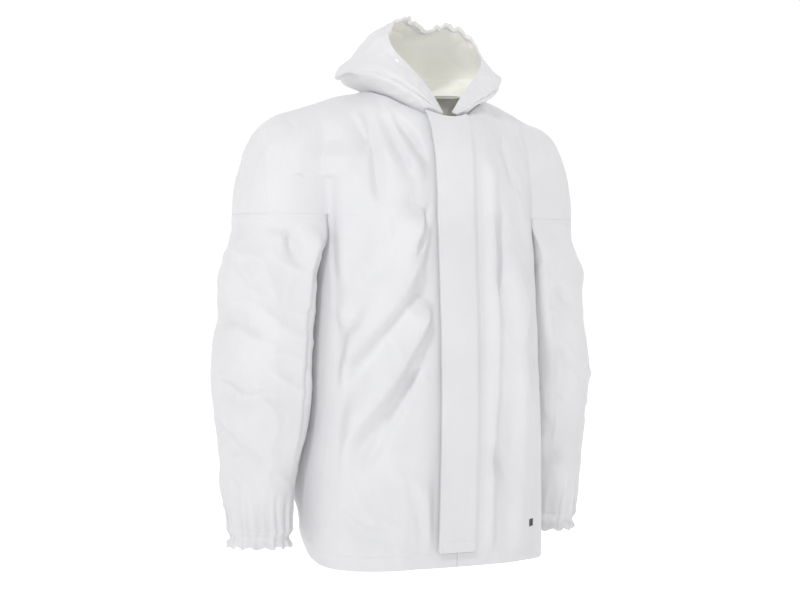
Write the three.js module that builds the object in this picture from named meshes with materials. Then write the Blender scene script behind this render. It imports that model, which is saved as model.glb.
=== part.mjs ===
// Hooded work jacket of coated cloth, cut as for beekeeping, as worn with nobody inside.
// Millimetres, +Z up. The front faces -Y and the wearer's right is -X.
// Origin: middle of the neck base between the shoulders, where the jacket hangs when worn.
import * as THREE from 'three';

// ---- driving dimensions ----
const hemDrop = 752;            // hem below the origin
const sleeveSeamDrop = 195;     // level seam between yoke and sleeve
const hemHalfWidth = 212;
const hemHalfDepth = 128;
const hemCentreY = -37;
const foldX = 190;              // front and back armpit folds, from the centre line
const armpitX = 194;
const chestY = 165;             // front of the chest, ahead of the origin
const upperBackY = 110;
const armholeFrontY = 90;
const armholeBackY = 71;
const frontBulge = 12;          // the cloth stands off the body in the middle of its height
const neckHalfWidth = 88;
const neckHalfDepth = 98;
const neckCentreY = -38;
const neckSideZ = 11;
const neckFrontDrop = 52;       // front of the neckline below its back
const shoulderX = 309;          // outermost point of the yoke, at the sleeve seam
const sleeveCentreY = -9;
const elbowDrop = 455;
const cuffDrop = 718;
const cuffDepth = 28;           // height of the gathered casing
const cloth = 2.5;              // coated cloth with its seam allowance
const layerGap = 0.4;           // between two layers of cloth
const seamGap = 0.5;            // between two panels at a seam
const armpitGap = 1.5;          // between the sleeve's inner wall and the side
const facing = 1.4;             // thickness of a facing or hem fold
const facingWidth = 60;
const hemFold = 25;
const frontMeeting = 0.8;       // gap between the two fronts
const flapRight = 38;           // free edge of the storm flap, to the wearer's right
const flapLeft = 40;            // sewn edge, to the wearer's left
const flapDrop = hemDrop - hemFold;
const flapLayer = 1.6;
const studRadius = 6.5;
const throatStudRadius = 5;
const studPart = 2.2;           // height of each half of a stud
const studCount = 5;
const studClear = 0.35;         // between a stud and the cloth it is set on
const studTouch = 0.1;          // between the two halves of a closed stud
const studX = 14 - flapRight;   // line of the studs, inside the free edge
const flapStandOff = 2 * (studPart + studClear) + studTouch;
const flapTopGap = 2.5;         // sewn edge off the cloth where it runs over the yoke
const elbowHalf = 50;           // half the length of sleeve that bends at the elbow
const elasticWidth = 14;
const elastic = 1.6;

const hemZ = -hemDrop;
const seamZ = -sleeveSeamDrop;
const squareness = 3;           // exponent of the boxy hem outline
const domeSquareness = 2.3;
const capRoundness = 2 / 2.4;
const neckShare = 0.6;          // share of the front that runs up to the neckline

// ---- curves ----
const V = (x, y, z) => new THREE.Vector3(x, y, z);
const mix = (a, b, t) => a + (b - a) * t;
const clamp01 = (t) => Math.min(1, Math.max(0, t));
const smooth = (t) => clamp01(t) * clamp01(t) * (3 - 2 * clamp01(t));
const power = (a, b) => Math.sign(a) * Math.abs(a) ** b;
const curve = (points) => new THREE.CatmullRomCurve3(points, false, 'catmullrom', 0.5);

// Shoulder line from the side of the neck to the top of the sleeve seam.
const shoulderLine = curve([
  V(neckHalfWidth, neckCentreY, neckSideZ - neckFrontDrop / 8),
  V(mix(neckHalfWidth, shoulderX, 0.28), -30, -9),
  V(mix(neckHalfWidth, shoulderX, 0.55), -22, -28),
  V(mix(neckHalfWidth, shoulderX, 0.76), -15, -44),
  V(mix(neckHalfWidth, shoulderX, 0.88), -11, mix(-44, seamZ, 0.22)),
  V(mix(neckHalfWidth, shoulderX, 0.95), sleeveCentreY, mix(-44, seamZ, 0.6)),
  V(shoulderX, sleeveCentreY, seamZ),
]);

// Neckline, by angle from the front centre towards the wearer's left.
function neckline(angle) {
  const low = ((1 + Math.cos(angle)) / 2) ** 3;
  return V(
    neckHalfWidth * Math.sin(angle),
    neckCentreY - neckHalfDepth * Math.cos(angle),
    neckSideZ - neckFrontDrop * low,
  );
}

// Side of the body by height, at the middle of its depth.
const dropAt = (z) => clamp01((seamZ - z) / (seamZ - hemZ));
const sideX = (z) => mix(armpitX, hemHalfWidth, dropAt(z) ** 1.2);

// Sleeve cross-sections by height: clearance from the side of the body, half width and half depth.
const cuffTop = -cuffDrop + cuffDepth;
const headEnd = seamZ - 105;
const sleeveSections = [
  [seamZ, 0, 60, 80],
  [headEnd, 3.6, 65, 79],
  [-elbowDrop, 6.8, 69, 77],
  [mix(-elbowDrop, cuffTop, 0.617), 9.7, 58, 66],
  [cuffTop, 10.4, 50, 56],
  [-cuffDrop + cuffDepth / 2, 14.9, 45, 49],
  [-cuffDrop, 10.4, 49, 52],
].map(([z, clear, halfWidth, halfDepth]) => [z, sideX(z) + clear + halfWidth, halfWidth, halfDepth]);
function sleeveSection(z) {
  let i = 0;
  while (i < sleeveSections.length - 2 && z < sleeveSections[i + 1][0]) i += 1;
  const [low, high] = [sleeveSections[i], sleeveSections[i + 1]];
  const t = smooth((z - low[0]) / (high[0] - low[0]));
  return [1, 2, 3].map((k) => mix(low[k], high[k], t));
}

const loopHalfWidth = 38;
const loopDrop = 14;
const loopTape = 6;
const loopThickness = 1.5;
const loopSeat = 3.8;
const labelSeat = 6;
const labelClear = 5.31;         // between the top of the label and the back
const labelWidth = 60;
const labelHeight = 32;
const labelThickness = 0.8;

// ---- surfaces, each for the wearer's left half ----
// Around the body: 0 front centre, 1 front fold, 2 back fold, 3 back centre.
function bodyAt(s, z) {
  const drop = dropAt(z);
  const settle = 1 - (1 - drop) ** 2.5;
  const hemY = (x) => hemHalfDepth * (1 - (x / hemHalfWidth) ** squareness) ** (1 / squareness);
  const hemX = (y) => hemHalfWidth * (1 - Math.abs(y / hemHalfDepth) ** squareness) ** (1 / squareness);
  const bulge = frontBulge * Math.sin(Math.PI * drop);
  if (s <= 1) {
    const top = -(armholeFrontY + (chestY - armholeFrontY) * (1 - power(s, 2.5)));
    const low = hemCentreY - hemY(foldX * s);
    return V(foldX * s, mix(top, low, settle) - bulge * (1 - s * s), z);
  }
  if (s >= 2) {
    const q = 3 - s;
    const top = armholeBackY + (upperBackY - armholeBackY) * (1 - power(q, 2.5));
    return V(foldX * q, mix(top, hemCentreY + hemY(foldX * q), settle), z);
  }
  const r = s - 1;
  const lowSide = mix(-hemY(foldX), hemY(foldX), r);
  const topX = foldX + (armpitX - foldX) * 4 * r * (1 - r);
  const y = mix(mix(-armholeFrontY, armholeBackY, r), hemCentreY + lowSide, settle);
  return V(mix(topX, hemX(lowSide), drop ** 1.2), y, z);
}

// Top of the sleeve, front (-1) or back (1): 0 at the armpit fold, 1 at the outside.
function sleeveTop(k, side) {
  const foldY = side < 0 ? -armholeFrontY : armholeBackY;
  return V(
    foldX + (shoulderX - foldX) * power(Math.sin(k * Math.PI / 2), capRoundness),
    sleeveCentreY + (foldY - sleeveCentreY) * power(Math.cos(k * Math.PI / 2), capRoundness),
    seamZ,
  );
}

// Yoke: s is 0 at the centre, 1 at the armpit fold, 2 at the shoulder. v rises to 1 at the top.
function yokeAt(s, v, side) {
  const base = s <= 1 ? bodyAt(side < 0 ? s : 3 - s, seamZ) : sleeveTop(s - 1, side);
  const reach = s <= neckShare ? s / neckShare : 1;
  const top = s <= neckShare
    ? neckline(side < 0 ? reach * Math.PI / 2 : Math.PI - reach * Math.PI / 2)
    : shoulderLine.getPoint(clamp01((s - neckShare) / (2 - neckShare)));
  const turn = clamp01(v) * Math.PI / 2;
  const inward = 1 - Math.cos(turn) ** (2 / domeSquareness);
  const rise = Math.sin(turn) ** (2 / domeSquareness);
  return V(mix(base.x, top.x, inward), mix(base.y, top.y, inward), mix(base.z, top.z, rise));
}

// Sleeve: q runs once round, 0 front fold, 1 outside, 2 back fold, 3 armpit, 4 front fold.
function sleeveAt(q, z) {
  const [centreX, halfWidth, halfDepth] = sleeveSection(z);
  const corner = Math.PI * 0.75;
  let top;
  let angle;
  if (q <= 1) {
    top = sleeveTop(q, -1);
    top.x += armpitGap * (1 - q);
    angle = -corner * (1 - q);
  } else if (q <= 2) {
    top = sleeveTop(2 - q, 1);
    top.x += armpitGap * (q - 1);
    angle = corner * (q - 1);
  } else {
    const r = (q - 2) / 2;
    top = V(foldX + (armpitX - foldX) * 4 * r * (1 - r) + armpitGap,
      mix(armholeBackY, -armholeFrontY, r), seamZ);
    angle = mix(corner, 2 * Math.PI - corner, r);
  }
  const round = V(centreX + halfWidth * Math.cos(angle), sleeveCentreY + halfDepth * Math.sin(angle), z);
  top.x += sideX(z) - armpitX;
  const settle = smooth((seamZ - z) / 100);
  return V(mix(top.x, round.x, settle), mix(top.y, round.y, settle), z);
}

// Hood: face edge, crown, widest line and neckline, right V-bottom to left V-bottom.
const faceEdge = curve([
  V(-4, -136, -37), V(-28, -134, 0), V(-55, -130, 30), V(-82, -108, 68), V(-80, -88, 99),
  V(-45, -80, 126), V(0, -68, 110), V(35, -80, 118), V(70, -88, 102), V(87, -98, 66),
  V(72, -112, 38), V(38, -126, 6), V(4, -136, -37),
]);
const crown = curve([
  V(-6, -140, -37), V(-40, -140, -6), V(-72, -134, 24), V(-98, -108, 52), V(-100, -60, 78),
  V(-62, -14, 106), V(0, 20, 98), V(50, -10, 98), V(96, -62, 72), V(108, -100, 44),
  V(90, -124, 22), V(50, -136, -6), V(6, -140, -37),
]);
const widest = curve([
  V(-8, -141, -38), V(-46, -142, -16), V(-86, -130, 6), V(-114, -96, 24), V(-120, -30, 34),
  V(-100, 56, 36), V(0, 102, 56), V(90, 62, 40), V(122, -20, 36), V(124, -88, 22),
  V(98, -122, 4), V(52, -140, -16), V(8, -141, -38),
]);
const hoodLift = 0.7;
function hoodAt(u, v) {
  const round = clamp01(u);
  const neck = neckline(-Math.PI * 2 * mix(0.03, 0.97, round));
  neck.z += hoodLift;
  const lines = [faceEdge, crown, widest].map((line) => line.getPoint(round));
  return curve([...lines, neck]).getPoint(clamp01(v));
}

// ---- solids ----
const steps = (from, to, count) => Array.from({ length: count + 1 }, (_, i) => mix(from, to, i / count));

// A patch is a surface function with its two lists of parameters, and which way its outside is.
function patch(at, across, up, outward) {
  const nudge = 1e-3;
  const points = [];
  for (const b of up) {
    for (const a of across) {
      const p = at(a, b);
      const along = at(a + nudge, b).sub(at(a - nudge, b));
      const over = at(a, b + nudge).sub(at(a, b - nudge));
      const normal = along.cross(over).normalize();
      if (normal.length() < 0.5) normal.copy(outward(p).normalize());
      if (normal.dot(outward(p)) < 0) normal.negate();
      points.push({ p, normal });
    }
  }
  const wide = across.length;
  const triangles = [];
  for (let j = 0; j < up.length - 1; j += 1) {
    for (let i = 0; i < wide - 1; i += 1) {
      const k = j * wide + i;
      triangles.push([k, k + 1, k + wide + 1], [k, k + wide + 1, k + wide]);
    }
  }
  let agreement = 0;
  for (const [a, b, c] of triangles) {
    const [p, q, r] = [a, b, c].map((k) => points[k].p);
    agreement += q.clone().sub(p).cross(r.clone().sub(p)).dot(points[a].normal);
  }
  return { points, triangles: agreement < 0 ? triangles.map(([a, b, c]) => [a, c, b]) : triangles };
}

// Joins patches at their common points and gives them a thickness between two offsets.
function shell(patches, outer, inner) {
  const found = new Map();
  const points = [];
  const triangles = [];
  for (const { points: from, triangles: faces } of patches) {
    const index = from.map(({ p, normal }) => {
      const key = [p.x, p.y, p.z].map((c) => Math.round(c * 1000)).join();
      if (!found.has(key)) {
        found.set(key, points.length);
        points.push({ p, normal: V(0, 0, 0) });
      }
      points[found.get(key)].normal.add(normal);
      return found.get(key);
    });
    for (const face of faces) {
      const [a, b, c] = face.map((k) => index[k]);
      if (a !== b && b !== c && c !== a) triangles.push([a, b, c]);
    }
  }
  const level = (z) => [hemZ, seamZ, -cuffDrop].some((height) => Math.abs(z - height) < 1e-6);
  for (const point of points) {
    if (level(point.p.z)) point.normal.z = 0;
    point.normal.normalize();
  }
  const moved = (offset) => points.map(({ p, normal }) => p.clone().addScaledVector(normal, offset));
  return between(moved(outer), moved(inner), triangles);
}

// Closes the space between two like sheets of points with a rim along their open edges.
function between(outside, inside, triangles) {
  const edges = new Map();
  for (const [a, b, c] of triangles) {
    for (const [from, to] of [[a, b], [b, c], [c, a]]) {
      if (!edges.delete(`${to},${from}`)) edges.set(`${from},${to}`, [from, to]);
    }
  }
  const count = outside.length;
  const faces = [];
  for (const [a, b, c] of triangles) faces.push([a, b, c], [a + count, c + count, b + count]);
  for (const [from, to] of edges.values()) {
    faces.push([to, from, from + count], [to, from + count, to + count]);
  }
  return solid([...outside, ...inside], faces);
}

// A closed solid from its corners and triangles, turned so that its faces point out.
function solid(corners, faces) {
  let volume = 0;
  for (const [a, b, c] of faces) {
    volume += corners[a].dot(corners[b].clone().cross(corners[c])) / 6;
  }
  const geometry = new THREE.BufferGeometry();
  const places = corners.flatMap((p) => [p.x, p.y, p.z]);
  geometry.setAttribute('position', new THREE.Float32BufferAttribute(places, 3));
  geometry.setIndex((volume < 0 ? faces.map(([a, b, c]) => [a, c, b]) : faces).flat());
  geometry.computeVertexNormals();
  return geometry;
}

// Puts a left-hand surface on the wearer's left (1) or right (-1).
const onSide = (at, side) => (a, b) => {
  const p = at(a, b);
  return V(p.x * side, p.y, p.z);
};
const fromAxis = (x, y) => (p) => V(p.x - x, p.y - y, 0);
const fromMiddle = (p) => V(p.x, p.y + 25, p.z + 260);
const fromHead = (p) => V(p.x, p.y + 20, p.z - 20);

// ---- the group ----
const jacket = new THREE.Group();
const looks = {
  cloth: { color: 0xf4f5f6, roughness: 0.6, metalness: 0 },
  lining: { color: 0xe6e6e2, roughness: 0.8, metalness: 0 },
  elastic: { color: 0xeeeeec, roughness: 0.9, metalness: 0 },
  stud: { color: 0xf6f6f4, roughness: 0.35, metalness: 0 },
  print: { color: 0x3a3d40, roughness: 0.6, metalness: 0 },
  label: { color: 0xdedfe0, roughness: 0.8, metalness: 0 },
};
function add(name, geometry, look, place) {
  const mesh = new THREE.Mesh(geometry, new THREE.MeshStandardMaterial(looks[look]));
  mesh.name = name;
  if (place) mesh.applyMatrix4(place);
  jacket.add(mesh);
}

// Shares of a seam gap in each surface's own parameters.
const frontLength = foldX;
const gapInFront = seamGap / 2 / frontLength;
const sideLength = armholeFrontY + armholeBackY;
const sideSeam = 1.5;
const gapAtSide = seamGap / 2 / sideLength;
const yokeGap = 0.004;
const yokeFoot = 0.0008;         // share of the yoke's rise that clears the seam below it
const bodyRows = [hemZ, ...steps(hemZ + hemFold, seamZ, 10)];
const underFlapColumns = [0, flapLeft / 2 / foldX, flapLeft / foldX];
const frontColumns = [...underFlapColumns, facingWidth / foldX, 0.45, 0.6, 0.74, 0.87, 1];
const hemRows = [hemZ, hemZ + hemFold - 1];
const shoulderColumns = [1, 1.2, 1.4, 1.6, 1.8, 1.93, 2];
const yokeRows = steps(0, 1 - yokeGap, 7);

function bodyPatch(side, columns, rows) {
  return patch(onSide(bodyAt, side), columns, rows, fromAxis(0, hemCentreY));
}
function yokePatch(side, face, columns, rows) {
  return patch(onSide((s, v) => yokeAt(s, v, face), side), columns, rows, fromMiddle);
}

const within = -cloth - layerGap;   // face of a layer laid inside a panel

// Fronts: from hem to shoulder in one piece, with the side seam half way round the side.
for (const [name, side] of [['right', -1], ['left', 1]]) {
  const meeting = [frontMeeting / 2 / foldX, ...frontColumns.slice(1)];
  add(`${name}_front_panel`, shell([
    bodyPatch(side, meeting, bodyRows),
    bodyPatch(side, steps(1, sideSeam - gapAtSide, 3), bodyRows),
    yokePatch(side, -1, meeting, yokeRows),
    yokePatch(side, -1, shoulderColumns, yokeRows),
  ], 0, -cloth), 'cloth');
  const facingColumns = meeting.slice(0, 4);
  add(`${name}_front_facing`, shell([
    bodyPatch(side, facingColumns, bodyRows.slice(1)),
    yokePatch(side, -1, facingColumns, yokeRows.slice(0, -1)),
  ], within, within - facing), 'lining');
  add(`${name}_front_hem_fold`, shell([
    bodyPatch(side, meeting, hemRows),
    bodyPatch(side, steps(1, sideSeam - gapAtSide, 3), hemRows),
  ], within, within - facing), 'lining');
}

// Back: a lower piece and a yoke, each across both sides, with a level seam between them.
const backColumns = [0.13, 0.26, 0.4, 0.55, 0.7, 0.85, 1];
function bothSides(make) {
  return [make(-1), make(1)];
}
const backRows = [...bodyRows.slice(0, -1), seamZ - seamGap / 2];
const backYokeRows = [yokeFoot, ...yokeRows.slice(1)];
add('back_panel', shell([
  ...bothSides((side) => bodyPatch(side, steps(sideSeam + gapAtSide, 2, 3), backRows)),
  ...bothSides((side) => bodyPatch(side, [3, ...backColumns.map((c) => 3 - c)], backRows)),
], 0, -cloth), 'cloth');
add('back_yoke', shell([
  ...bothSides((side) => yokePatch(side, 1, [0, ...backColumns], backYokeRows)),
  ...bothSides((side) => yokePatch(side, 1, shoulderColumns, backYokeRows)),
], 0, -cloth), 'cloth');
add('back_hem_fold', shell([
  ...bothSides((side) => bodyPatch(side, steps(sideSeam + gapAtSide, 2, 3), hemRows)),
  ...bothSides((side) => bodyPatch(side, [3, ...backColumns.map((c) => 3 - c)], hemRows)),
], within, within - facing), 'lining');

// Neck tape over the back neck seam, with the hanger loop and a blank label below it.
add('neck_tape', shell(bothSides((side) => yokePatch(side, 1, [0, ...backColumns.slice(0, 4)],
  yokeRows.slice(-2))), within, within - facing), 'lining');

// Hanger loop and blank label, hanging inside the back from the neck tape.
function strip(length, width, thickness) {
  return new THREE.BoxGeometry(length, thickness, width);
}
function loopGeometry(half, drop, width, thickness) {
  const outline = new THREE.Shape();
  outline.moveTo(-half, 0);
  outline.lineTo(-half, -drop);
  outline.lineTo(half, -drop);
  outline.lineTo(half, 0);
  outline.lineTo(half - width, 0);
  outline.lineTo(half - width, width - drop);
  outline.lineTo(width - half, width - drop);
  outline.lineTo(width - half, 0);
  outline.closePath();
  return new THREE.ExtrudeGeometry(outline, { depth: thickness, bevelEnabled: false }).rotateX(Math.PI / 2);
}
// Inner face of the back at the centre line, by height, along the facets of its rows.
function insideBack(z) {
  const rows = yokeRows.map((v) => yokeAt(0, v, 1));
  const above = rows.findIndex((p) => p.z > z);
  const [low, high] = [rows[above - 1], rows[above]];
  const along = high.clone().sub(low);
  return mix(low.y, high.y, (z - low.z) / along.z) - cloth * along.length() / along.z;
}
const backNeck = yokeAt(0, yokeRows.at(-2), 1);
const underTape = backNeck.z - cloth - layerGap - facing - layerGap;
const loopY = backNeck.y - 6;
add('hanger_loop', loopGeometry(loopHalfWidth, loopDrop, loopTape, loopThickness), 'elastic',
  new THREE.Matrix4().makeTranslation(0, loopY, underTape - loopSeat));
const labelTop = underTape - labelSeat;
const labelY = insideBack(labelTop) - labelClear - labelThickness / 2;
add('neck_label', strip(labelWidth, labelHeight, labelThickness), 'label',
  new THREE.Matrix4().makeTranslation(0, labelY, labelTop - labelHeight / 2));

// Storm flap: sewn along its left edge, standing off over the studs to its free edge.
const flapColumns = [-flapRight, -flapLeft / 2, 0, flapLeft / 2, flapLeft * 0.8, flapLeft];
function flapAt(x, t) {
  const s = Math.abs(x) / foldX;
  const point = t <= 1 ? bodyAt(s, mix(-flapDrop, seamZ, t)) : yokeAt(s, t - 1, -1);
  return V(Math.sign(x || 1) * point.x, point.y, point.z);
}
const flapTop = 1.8;            // 1 is the level of the sleeve seams and 2 the neckline
const flapRows = [
  ...steps(0, 1, bodyRows.length - 2),
  ...yokeRows.slice(1, -2).map((v) => 1 + v),
  flapTop,
];
function flapLayerSolid(from, to) {
  const grid = patch(flapAt, flapColumns, flapRows, fromAxis(0, 0));
  const seated = (x, t) => mix(mix(layerGap, flapTopGap, smooth((t - 1) / 0.8)), flapStandOff,
    smooth((flapLeft - x) / 16));
  const wide = flapColumns.length;
  const moved = (offset) => grid.points.map(({ p, normal }, k) => {
    const lift = seated(flapColumns[k % wide], flapRows[Math.floor(k / wide)]);
    return p.clone().addScaledVector(normal, offset + lift);
  });
  return between(moved(to), moved(from), grid.triangles);
}
add('storm_flap_inner', flapLayerSolid(0, flapLayer), 'cloth');
add('storm_flap_outer', flapLayerSolid(flapLayer + layerGap, 2 * flapLayer + layerGap), 'cloth');

// Press studs: posts on the right front, sockets on the inside of the flap.
function studProfile(rimHeight, tip) {
  return [[0, 0], [studRadius, 0], [studRadius, rimHeight], [tip, rimHeight], [tip, studPart], [0, studPart]]
    .map(([r, h]) => new THREE.Vector2(r, h));
}
function placeOnFront(x, t, offset) {
  const p = flapAt(x, t);
  const nudge = 1e-3;
  const along = flapAt(x + nudge, t).sub(flapAt(x - nudge, t));
  const over = flapAt(x, t + nudge).sub(flapAt(x, t - nudge));
  const out = along.cross(over).normalize();
  if (out.y > 0) out.negate();
  const turn = new THREE.Quaternion().setFromUnitVectors(V(0, 1, 0), out);
  return new THREE.Matrix4().compose(p.addScaledVector(out, offset), turn, V(1, 1, 1));
}
const studLevels = steps(0.12, 1.25, studCount - 1);
studLevels.forEach((t, i) => {
  const post = new THREE.LatheGeometry(studProfile(studPart / 2, studRadius / 2), 12);
  const socket = new THREE.LatheGeometry(studProfile(studPart * 0.6, studRadius * 0.8), 12);
  const seat = placeOnFront(studX, t, studClear);
  add(`front_stud_post_${i + 1}`, post, 'stud', seat);
  const place = placeOnFront(studX, t, flapStandOff - studPart - studClear);
  add(`flap_stud_socket_${i + 1}`, socket, 'stud', place);
});

// Sleeves: head, upper arm, elbow, forearm, then the gathered cuff with its elastic.
const elbowTop = -elbowDrop + elbowHalf;
const elbowEnd = -elbowDrop - elbowHalf;
const roundPart = [...steps(0, 1, 5), ...steps(1, 2, 5).slice(1), ...steps(2, 4, 6).slice(1)];
function sleevePart(side, rows) {
  return patch(onSide(sleeveAt, side), roundPart, rows, (p) => V(p.x - side * sleeveSection(p.z)[0],
    p.y - sleeveCentreY, 0));
}
for (const [name, side] of [['right', -1], ['left', 1]]) {
  const gap = seamGap / 2;
  const part = (label, top, end, rows, look) => add(`${name}_${label}`,
    shell([sleevePart(side, steps(end + gap, top - gap, rows))], 0, -cloth), look);
  part('sleeve_head', seamZ - gap, headEnd, 4, 'cloth');
  part('upper_sleeve', headEnd, elbowTop, 4, 'cloth');
  part('elbow_sleeve', elbowTop, elbowEnd, 3, 'cloth');
  part('lower_sleeve', elbowEnd, cuffTop, 5, 'cloth');
  const elasticFoot = -cuffDrop + (cuffDepth - elasticWidth) / 2;
  const elasticRows = steps(elasticFoot, elasticFoot + elasticWidth, 2);
  const casing = sleevePart(side, [-cuffDrop, ...elasticRows, cuffTop - gap]);
  add(`${name}_cuff_casing`, shell([casing], 0, -cloth), 'cloth');
  add(`${name}_cuff_elastic`, shell([sleevePart(side, elasticRows)], within, within - elastic), 'elastic');
}

// Hood: two sides with a seam over the crown, a gathered casing round the face and its elastic.
const casingShare = 0.09;
const hoodSeam = 0.5;
const hoodGap = 0.0015;
const hoodEnds = [0.04, 0.96];
const hoodRows = steps(casingShare + 0.012, 0.996, 10);
const casingAcross = steps(hoodEnds[0], hoodEnds[1], 32);
const rightAcross = [...casingAcross.slice(0, 16), hoodSeam - hoodGap];
const leftAcross = [hoodSeam + hoodGap, ...casingAcross.slice(17)];
add('hood_right_side', shell([patch(hoodAt, rightAcross, hoodRows, fromHead)], 0, -cloth), 'cloth');
add('hood_left_side', shell([patch(hoodAt, leftAcross, hoodRows, fromHead)], 0, -cloth), 'cloth');
const elasticShare = [0.02, casingShare - 0.02];
add('hood_face_casing', shell([patch(hoodAt, casingAcross, [0, ...elasticShare, casingShare], fromHead)],
  0, -cloth), 'cloth');
add('hood_face_elastic', shell([patch(hoodAt, casingAcross.slice(8, -8), elasticShare, fromHead)],
  within, within - elastic), 'elastic');

// Throat studs on the inside of the two front edges of the hood.
function placeInHood(u, v, offset) {
  const nudge = 1e-3;
  const p = hoodAt(u, v);
  const along = hoodAt(u + nudge, v).sub(hoodAt(u - nudge, v));
  const over = hoodAt(u, v + nudge).sub(hoodAt(u, v - nudge));
  const out = along.cross(over).normalize();
  if (out.dot(fromHead(p)) > 0) out.negate();
  const turn = new THREE.Quaternion().setFromUnitVectors(V(0, 1, 0), out);
  return new THREE.Matrix4().compose(p.addScaledVector(out, offset), turn, V(1, 1, 1));
}
const throatSeat = cloth + 1.15;
const throatProfile = studProfile(studPart * 0.6, throatStudRadius * 0.5)
  .map((point) => new THREE.Vector2(Math.min(point.x, throatStudRadius), point.y));
const throatStud = () => new THREE.LatheGeometry(throatProfile, 12);
add('hood_stud_socket', throatStud(), 'stud', placeInHood(0.78, 0.15, throatSeat));
add('hood_stud_post', throatStud(), 'stud', placeInHood(0.22, 0.15, throatSeat));

// Plain print patch above the hem of the left front.
const printThickness = 0.5;
const printRows = [hemZ + 48, hemZ + 80];
const printPatch = bodyPatch(1, [0.77, 0.86], printRows);
add('hem_print_patch', shell([printPatch], layerGap, layerGap + printThickness), 'print');

export default jacket;
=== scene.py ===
"""Hooded jacket of white coated cloth, worn by nobody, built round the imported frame."""
import math

import bpy
import numpy as np
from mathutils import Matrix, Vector


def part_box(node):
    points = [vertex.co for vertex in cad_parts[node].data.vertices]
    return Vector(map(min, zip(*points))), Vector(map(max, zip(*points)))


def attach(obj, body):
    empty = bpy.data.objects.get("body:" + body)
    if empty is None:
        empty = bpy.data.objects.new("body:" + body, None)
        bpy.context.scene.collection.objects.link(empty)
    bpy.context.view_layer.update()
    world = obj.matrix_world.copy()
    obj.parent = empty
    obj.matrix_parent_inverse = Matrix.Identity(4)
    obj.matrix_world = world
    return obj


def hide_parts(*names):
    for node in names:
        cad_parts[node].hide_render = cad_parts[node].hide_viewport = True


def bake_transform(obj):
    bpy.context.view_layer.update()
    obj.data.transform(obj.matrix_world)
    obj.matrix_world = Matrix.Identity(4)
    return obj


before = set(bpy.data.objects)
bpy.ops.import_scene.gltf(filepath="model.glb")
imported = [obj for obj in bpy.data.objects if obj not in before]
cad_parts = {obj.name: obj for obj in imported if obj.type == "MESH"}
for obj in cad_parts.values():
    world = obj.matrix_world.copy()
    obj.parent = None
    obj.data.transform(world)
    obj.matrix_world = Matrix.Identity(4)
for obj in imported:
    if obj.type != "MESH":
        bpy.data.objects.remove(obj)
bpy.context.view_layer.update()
MM = 0.001


def low(node):
    """Lowest corner of a CAD node, in millimetres."""
    return np.array(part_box(node)[0]) / MM


def high(node):
    """Highest corner of a CAD node, in millimetres."""
    return np.array(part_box(node)[1]) / MM


# ---- driving sizes, in millimetres ----
HEM_Z = low("back_panel")[2]
SEAM_Z = high("left_sleeve_head")[2] + 0.5
HEM_FOLD = high("back_hem_fold")[2] + 1 - HEM_Z
SHOULDER_X = high("left_front_panel")[0]
CUFF_Z = low("left_cuff_casing")[2]
CUFF_TOP = high("left_cuff_casing")[2]
FLAP_LOW = low("storm_flap_outer")[2]
HEM_HALF_WIDTH, HEM_HALF_DEPTH, HEM_Y = 212.0, 128.0, -37.0
FOLD_X, ARMPIT_X = 190.0, 194.0
CHEST_Y, BACK_Y = 165.0, 110.0
ARM_FRONT, ARM_BACK, ARM_Y = 90.0, 71.0, -9.0
BULGE = 12.0
NECK_X, NECK_DEPTH, NECK_Y = 88.0, 98.0, -38.0
NECK_SIDE_Z, NECK_DROP = 11.0, 52.0
NECK_SHARE = 0.6
FLAP_RIGHT, FLAP_LEFT = 38.0, 39.9
CLOTH = 1.7
DOME, CAP, BOX = 2.3, 2 / 2.4, 3.0
VIEW_ACROSS = np.array([0.866, -0.5, 0.0])
VIEW_BACK = np.array([-0.5, -0.866, 0.0])
HOOD_MIDDLE = np.array([0.0, -20.0, 20.0])
FRONT_GAIN, BODY_GAIN, SLEEVE_GAIN = 2.1, 1.35, 2.3
SQUASH = 25.0
rng = np.random.default_rng(11)

# ---- camera, level with the waist and turned to the wearer's right front ----
SCENE_WIDTH = 1.32
CAMERA_DISTANCE = 3.4
CAMERA_Z = -0.330
SIDE_STEP = -0.0073
camera_data = bpy.data.cameras.new("camera")
camera_data.lens = 36 * CAMERA_DISTANCE / SCENE_WIDTH
camera = bpy.data.objects.new("camera", camera_data)
bpy.context.scene.collection.objects.link(camera)
camera.location = Vector(VIEW_BACK * CAMERA_DISTANCE + VIEW_ACROSS * SIDE_STEP) + Vector((0, 0, CAMERA_Z))
camera.rotation_euler = (math.pi / 2, 0, math.radians(-30))
bpy.context.scene.camera = camera


# ---- curves and fields ----
def smooth(t):
    """Smooth step: 3t^2 - 2t^3 of t held between 0 and 1."""
    t = np.clip(t, 0, 1)
    return t * t * (3 - 2 * t)


def mix(a, b, t):
    """Straight mix from a to b."""
    return a + (b - a) * t


def power(a, b):
    """The b-th power of the size of a, with the sign of a."""
    return np.sign(a) * np.abs(a) ** b


def through(points, t):
    """Uniform Catmull-Rom curve through points (k, ..., 3) at each t (m,), with straight run-outs."""
    points = np.asarray(points, float)
    last = len(points) - 1
    ends = [2 * points[:1] - points[1:2], points, 2 * points[-1:] - points[-2:-1]]
    p = np.concatenate(ends)
    t = np.clip(np.asarray(t, float), 0, 1) * last
    i = np.minimum(t.astype(int), last - 1)
    w = (t - i).reshape((-1,) + (1,) * (points.ndim - 1))
    a, b, c, d = p[i], p[i + 1], p[i + 2], p[i + 3]
    lead, trail = (c - a) / 2, (d - b) / 2
    return b + lead * w + (3 * (c - b) - 2 * lead - trail) * w ** 2 + (2 * (b - c) + lead + trail) * w ** 3


LATTICE = rng.random((64, 64, 64))


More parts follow.
